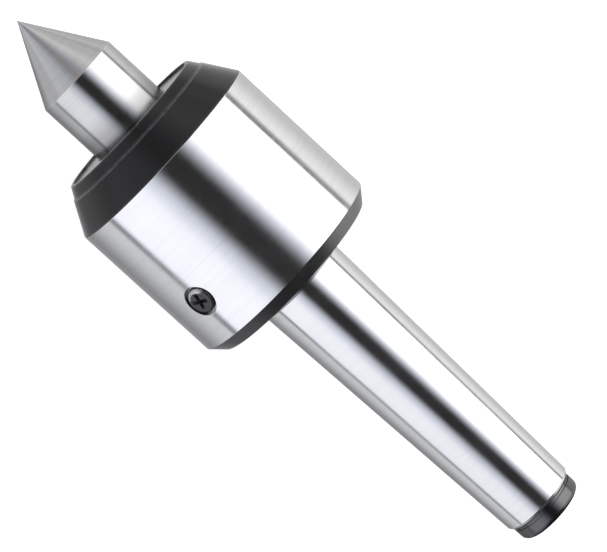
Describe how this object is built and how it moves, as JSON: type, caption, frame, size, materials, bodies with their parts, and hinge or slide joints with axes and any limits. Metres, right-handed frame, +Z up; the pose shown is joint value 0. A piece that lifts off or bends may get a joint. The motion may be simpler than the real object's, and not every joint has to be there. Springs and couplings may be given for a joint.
{
  "type": "live center",
  "caption": "Revolving lathe center: a hardened sixty degree point turns on ball, thrust and needle bearings in a round head with a Morse taper shank.",
  "frame": {"origin": "on the axis of rotation, at the gauge plane of the Morse taper", "axes": "+X along the axis from the point to the tail of the shank, +Z up as the tool lies on a bench, with the grease screw on the upper side towards -Y"},
  "size_m": [0.1742, 0.0534, 0.0535],
  "materials": {
    "ground_steel": "cylindrically ground, with a black oxide bevel, rear face and neck",
    "point_steel": "hardened and ground",
    "black_steel": "black oxide, satin",
    "bright_ring": "bright, faced",
    "bearing_steel": "superfinished",
    "cage_steel": "pressed sheet, dull bright",
    "spring_steel": "phosphated, oiled",
    "seal_rubber": "moulded, matte",
    "copper_washer": "annealed copper, dull"
  },
  "bodies": {
    "head": {"housing": "ground_steel", "front_cap": "black_steel", "dust_shield": "bright_ring", "seal_case": "spring_steel", "seal_lip": "seal_rubber", "seal_spring": "spring_steel", "front_outer_ring": "bearing_steel", "thrust_housing_washer": "bearing_steel", "needle_cup": "bearing_steel", "grease_screw": "black_steel", "screw_washer": "copper_washer"},
    "spindle": {"center_point": "point_steel", "front_inner_ring": "bearing_steel", "bearing_circlip": "spring_steel", "thrust_shaft_washer": "bearing_steel"},
    "front_cage": {"front_balls": "bearing_steel", "front_cage_half": "cage_steel", "front_cage_back_half": "cage_steel", "front_cage_rivets": "cage_steel"},
    "thrust_cage_set": {"thrust_balls": "bearing_steel", "thrust_cage": "cage_steel"},
    "needle_cage_set": {"needle_rollers": "bearing_steel", "needle_cage": "cage_steel"}
  },
  "joints": [
    {"name": "spindle_spin", "type": "hinge", "parent": "head", "child": "spindle", "pos_m": [-0.03424, 0, 0], "axis": [1, 0, 0], "continuous": true},
    {"name": "front_cage_spin", "type": "hinge", "parent": "head", "child": "front_cage", "pos_m": [-0.03424, 0, 0], "axis": [1, 0, 0], "continuous": true},
    {"name": "thrust_cage_spin", "type": "hinge", "parent": "head", "child": "thrust_cage_set", "pos_m": [-0.01924, 0, 0], "axis": [1, 0, 0], "continuous": true},
    {"name": "needle_cage_spin", "type": "hinge", "parent": "head", "child": "needle_cage_set", "pos_m": [0.00676, 0, 0], "axis": [1, 0, 0], "continuous": true}
  ],
  "couplings": [
    {"joint": "front_cage_spin", "follows": "spindle_spin", "ratio": 0.38152},
    {"joint": "thrust_cage_spin", "follows": "spindle_spin", "ratio": 0.5},
    {"joint": "needle_cage_spin", "follows": "spindle_spin", "ratio": 0.42857}
  ]
}
